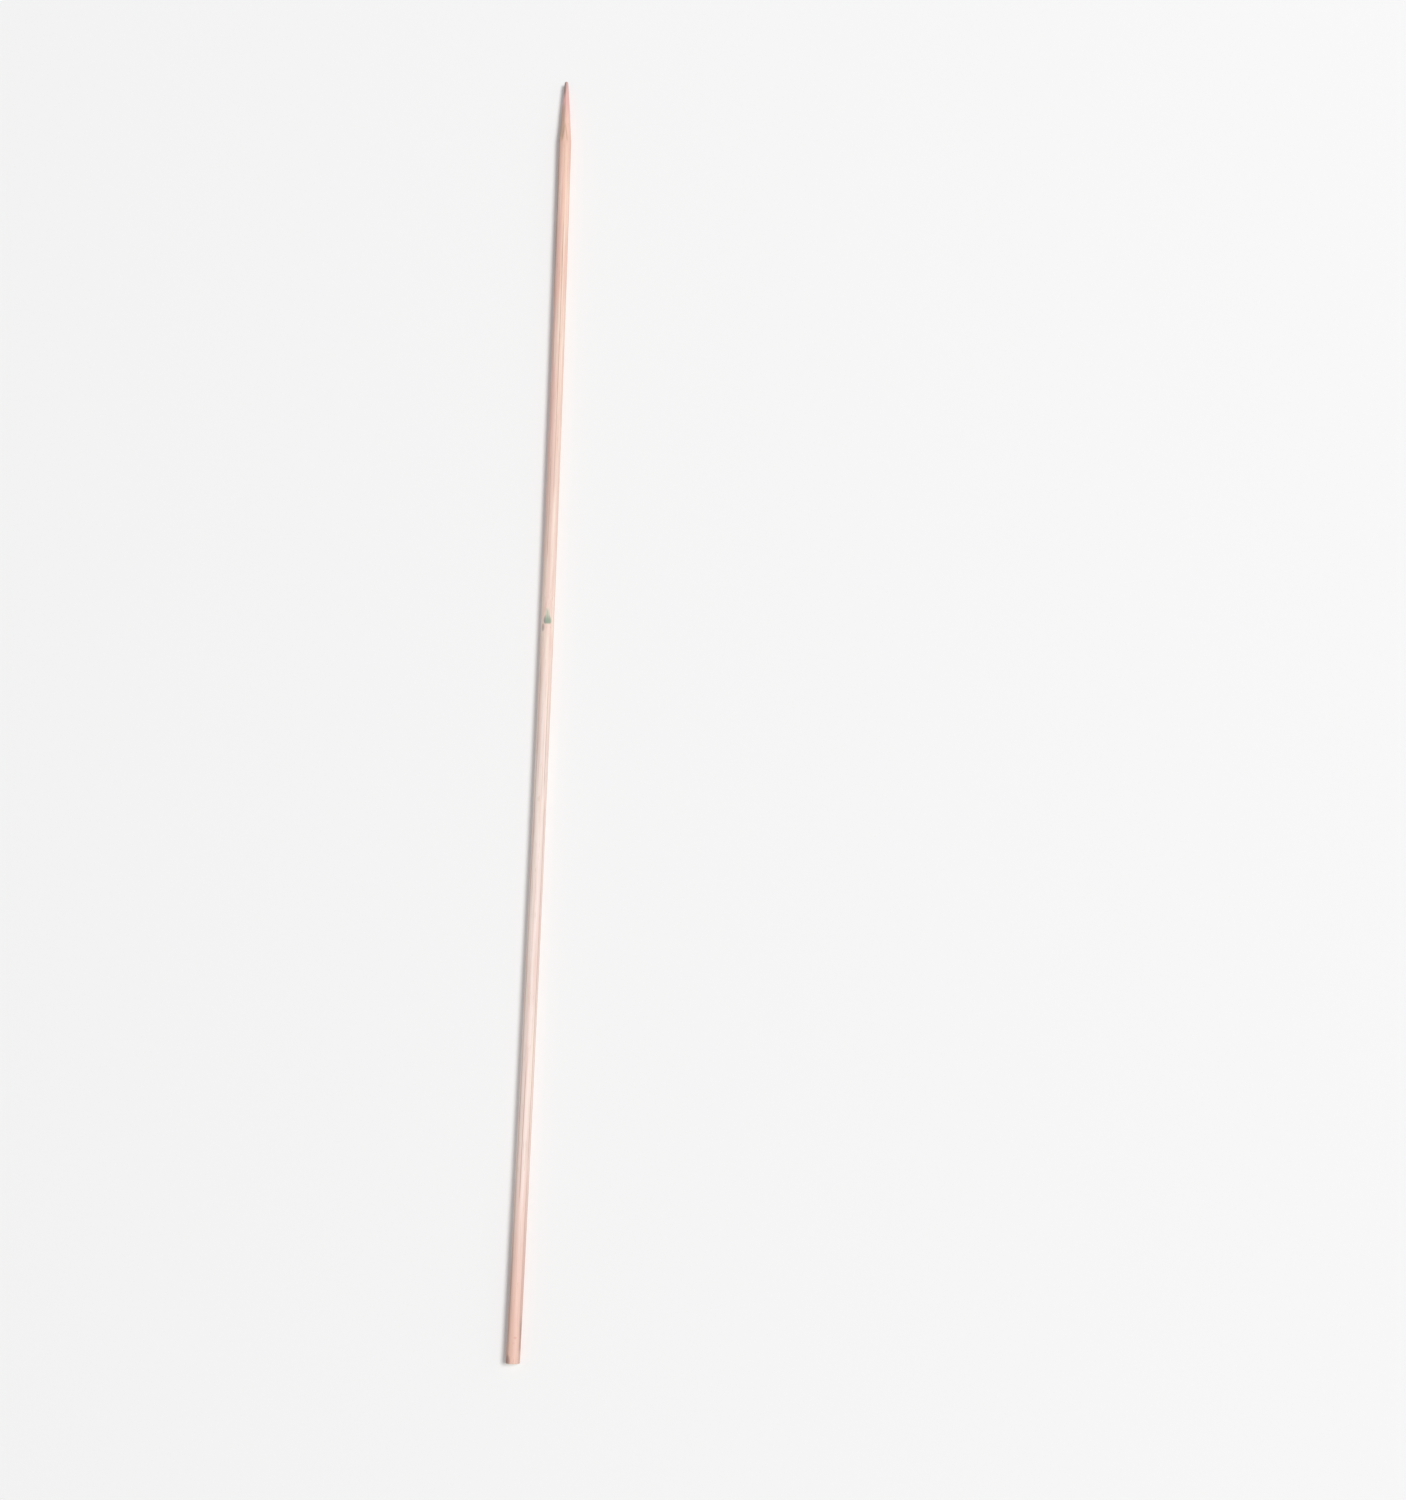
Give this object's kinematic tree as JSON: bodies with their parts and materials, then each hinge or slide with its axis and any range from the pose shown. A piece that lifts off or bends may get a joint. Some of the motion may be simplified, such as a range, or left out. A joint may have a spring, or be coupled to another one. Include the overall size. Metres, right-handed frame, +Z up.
{
  "type": "bamboo skewer",
  "caption": "Thin round stick of bamboo, ground to a point at one end and cut square at the other, to thread food on for grilling.",
  "frame": {"origin": "on the surface that the stick lies on, below the middle of its box", "axes": "+Y along the stick towards its point, +Z up, and +X towards the side that the stick bows to"},
  "size_m": [0.0038, 0.3, 0.003],
  "materials": {
    "bamboo": "dry, unvarnished bamboo with fine fibres along the stick, matt to slightly satin, tinted pale peach"
  },
  "bodies": {
    "root": {"skewer": "bamboo"}
  },
  "joints": []
}
